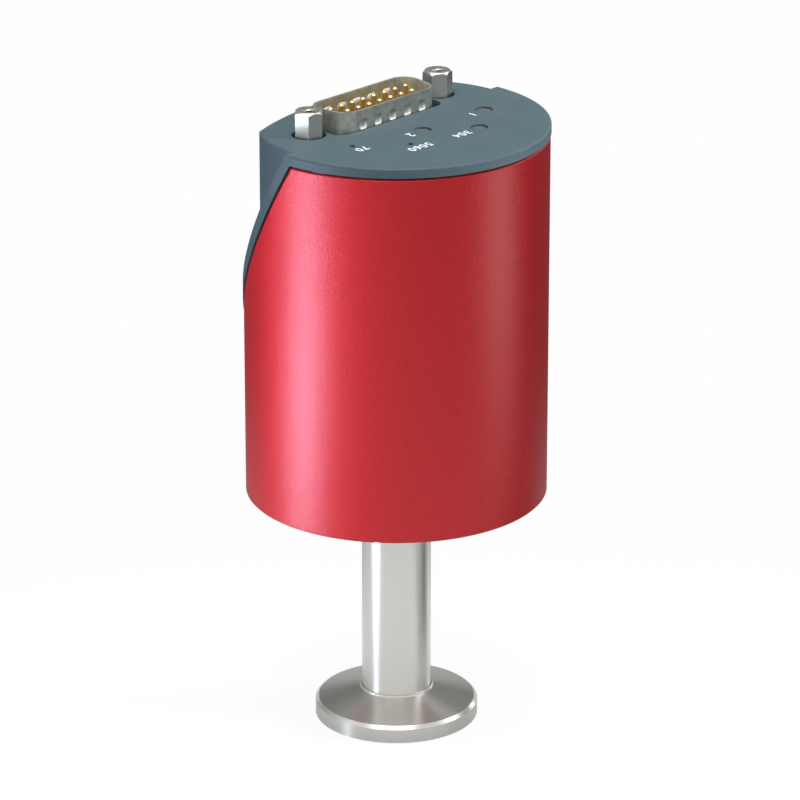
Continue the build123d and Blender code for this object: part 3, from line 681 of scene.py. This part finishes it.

# World: white to the camera. Metal mirrors it bright in front and low down, dim behind the gauge,
# and dark where the patch of painted shade lies at the right. All else gets a soft, even light from
# it.
BACK_FROM = -0.8
FRONT_FROM = 0.3
BACK_GREY = 0.2
LOW_BAND = 0.08
LOW_BAND_FADE = 0.3
LOW_BAND_WHITE = 0.95
# Painted shade: the world as metal mirrors it, darkened at the right
PAINTED_SHADE_ON_WALL = 0.2
ROOM_LEVEL = 0.45
world = bpy.data.worlds.new("studio")
bpy.context.scene.world = world
world.use_nodes = True
tree = world.node_tree
tree.nodes.clear()
rays = add(tree, "ShaderNodeLightPath")
sky = add(tree, "ShaderNodeTexCoord").outputs["Generated"]
facing = add(tree, "ShaderNodeVectorMath", {0: sky, 1: front}, operation="DOT_PRODUCT")
depth = add(
    tree, "ShaderNodeMapRange",
    {
        "Value": facing.outputs["Value"],
        "From Min": BACK_FROM, "From Max": FRONT_FROM,
        "To Min": BACK_GREY, "To Max": 1.0,
    },
)
height = add(tree, "ShaderNodeSeparateXYZ", {"Vector": sky}).outputs["Z"]
low = add(
    tree, "ShaderNodeMapRange",
    {
        "Value": height,
        "From Min": LOW_BAND, "From Max": LOW_BAND_FADE,
        "To Min": LOW_BAND_WHITE, "To Max": 0.0,
    },
)
walls = add(
    tree, "ShaderNodeMath",
    {0: depth.outputs["Result"], 1: low.outputs["Result"]},
    operation="MAXIMUM",
)
mirrored = add(
    tree, "ShaderNodeMath",
    {0: walls.outputs["Value"], 1: left_by_painted_shade(tree, sky, PAINTED_SHADE_ON_WALL)},
    operation="MULTIPLY",
)
room = add(
    tree, "ShaderNodeBackground",
    {"Color": linear("d8dbde"), "Strength": ROOM_LEVEL},
)
wall = add(
    tree, "ShaderNodeBackground",
    {"Color": linear("ffffff"), "Strength": mirrored.outputs["Value"]},
)
white = add(tree, "ShaderNodeBackground", {"Color": linear("ffffff"), "Strength": 1.0})
unseen = add(
    tree, "ShaderNodeMixShader",
    {
        0: rays.outputs["Is Glossy Ray"],
        1: room.outputs["Background"],
        2: wall.outputs["Background"],
    },
)
seen = add(
    tree, "ShaderNodeMath",
    {0: rays.outputs["Is Camera Ray"], 1: rays.outputs["Is Transmission Ray"]},
    operation="MAXIMUM",
)
all_rays = add(
    tree, "ShaderNodeMixShader",
    {0: seen.outputs["Value"], 1: unseen.outputs["Shader"], 2: white.outputs["Background"]},
)
add(tree, "ShaderNodeOutputWorld", {"Surface": all_rays.outputs["Shader"]})

# Lamps, in metres and watts, with azimuths that count from the camera's own. The camera sees none
# of them. Some only show as a reflection, and some never do.
LAMPS_FACE = 0.07
STRIP_HEIGHT = 0.004


def soft_lamp(name, spot, turn, width, height, power, colour):
    """A soft rectangular lamp. Unturned, it shines down."""
    lamp = bpy.data.lights.new(name, "AREA")
    lamp.shape = "RECTANGLE"
    lamp.size = width
    lamp.size_y = height
    lamp.energy = power
    lamp.color = linear(colour)[:3]
    obj = bpy.data.objects.new(name, lamp)
    obj.location = spot
    obj.rotation_mode = "QUATERNION"
    obj.rotation_quaternion = turn
    obj.visible_camera = False
    bpy.context.collection.objects.link(obj)
    return obj


def softbox(name, azimuth, elevation, distance, width, height, power, colour="ffffff"):
    """A soft lamp that faces the middle of the gauge."""
    way = direction(CAMERA_AZIMUTH + azimuth, elevation)
    spot = Vector((0, 0, LAMPS_FACE)) + way * distance
    turn = (-way).to_track_quat("-Z", "Y")
    return soft_lamp(name, spot, turn, width, height, power, colour)


def floor_strip(name, azimuth, distance, width, length, power, colour="ffffff"):
    """A strip lamp on the floor, its length away from the gauge, that only shows as a reflection."""
    way = direction(CAMERA_AZIMUTH + azimuth, 0)
    spot = way * distance + Vector((0, 0, STRIP_HEIGHT))
    turn = Euler((math.pi, 0, math.radians(CAMERA_AZIMUTH + azimuth))).to_quaternion()
    strip = soft_lamp(name, spot, turn, width, length, power, colour)
    strip.visible_diffuse = False


# The housing's broad pink highlight on the left, and the sheen on its right that fades downward.
# Both lie where the housing mirrors the floor and the port doesn't.
floor_strip("left_strip", -68, 0.25, width=0.06, length=0.24, power=1.16, colour="c4dcff")
floor_strip("right_strip", 80, 0.37, width=0.11, length=0.3, power=0.58)

# The narrow bright line down the port's tube
tall_strip = softbox(
    "left_tall_strip", -70, 0, 0.45, width=0.03, height=0.14, power=0.45, colour="dceeff"
)
tall_strip.visible_diffuse = False

# Glints in the dimples of the connector's shell
spark = softbox("right_spark", 105, 42, 1.0, width=0.3, height=0.3, power=1.2)
spark.visible_diffuse = False

# Matt light on the cap: bluish on its left cheek, white on its rim at the right
left_fill = softbox(
    "left_softbox", -112, 20, 1.0, width=0.3, height=0.3, power=1.5, colour="b8d4ff"
)
left_fill.visible_glossy = False
right_fill = softbox("right_softbox", 84, 22, 1.0, width=0.3, height=0.3, power=8.5)
right_fill.visible_glossy = False

# A rim of light from behind on the right, and the light on the cap's top
softbox("right_rim_softbox", 135, 8, 1.0, width=0.2, height=0.3, power=0.5)
softbox("top_softbox", -10, 78, 0.8, width=0.6, height=0.6, power=5.5)
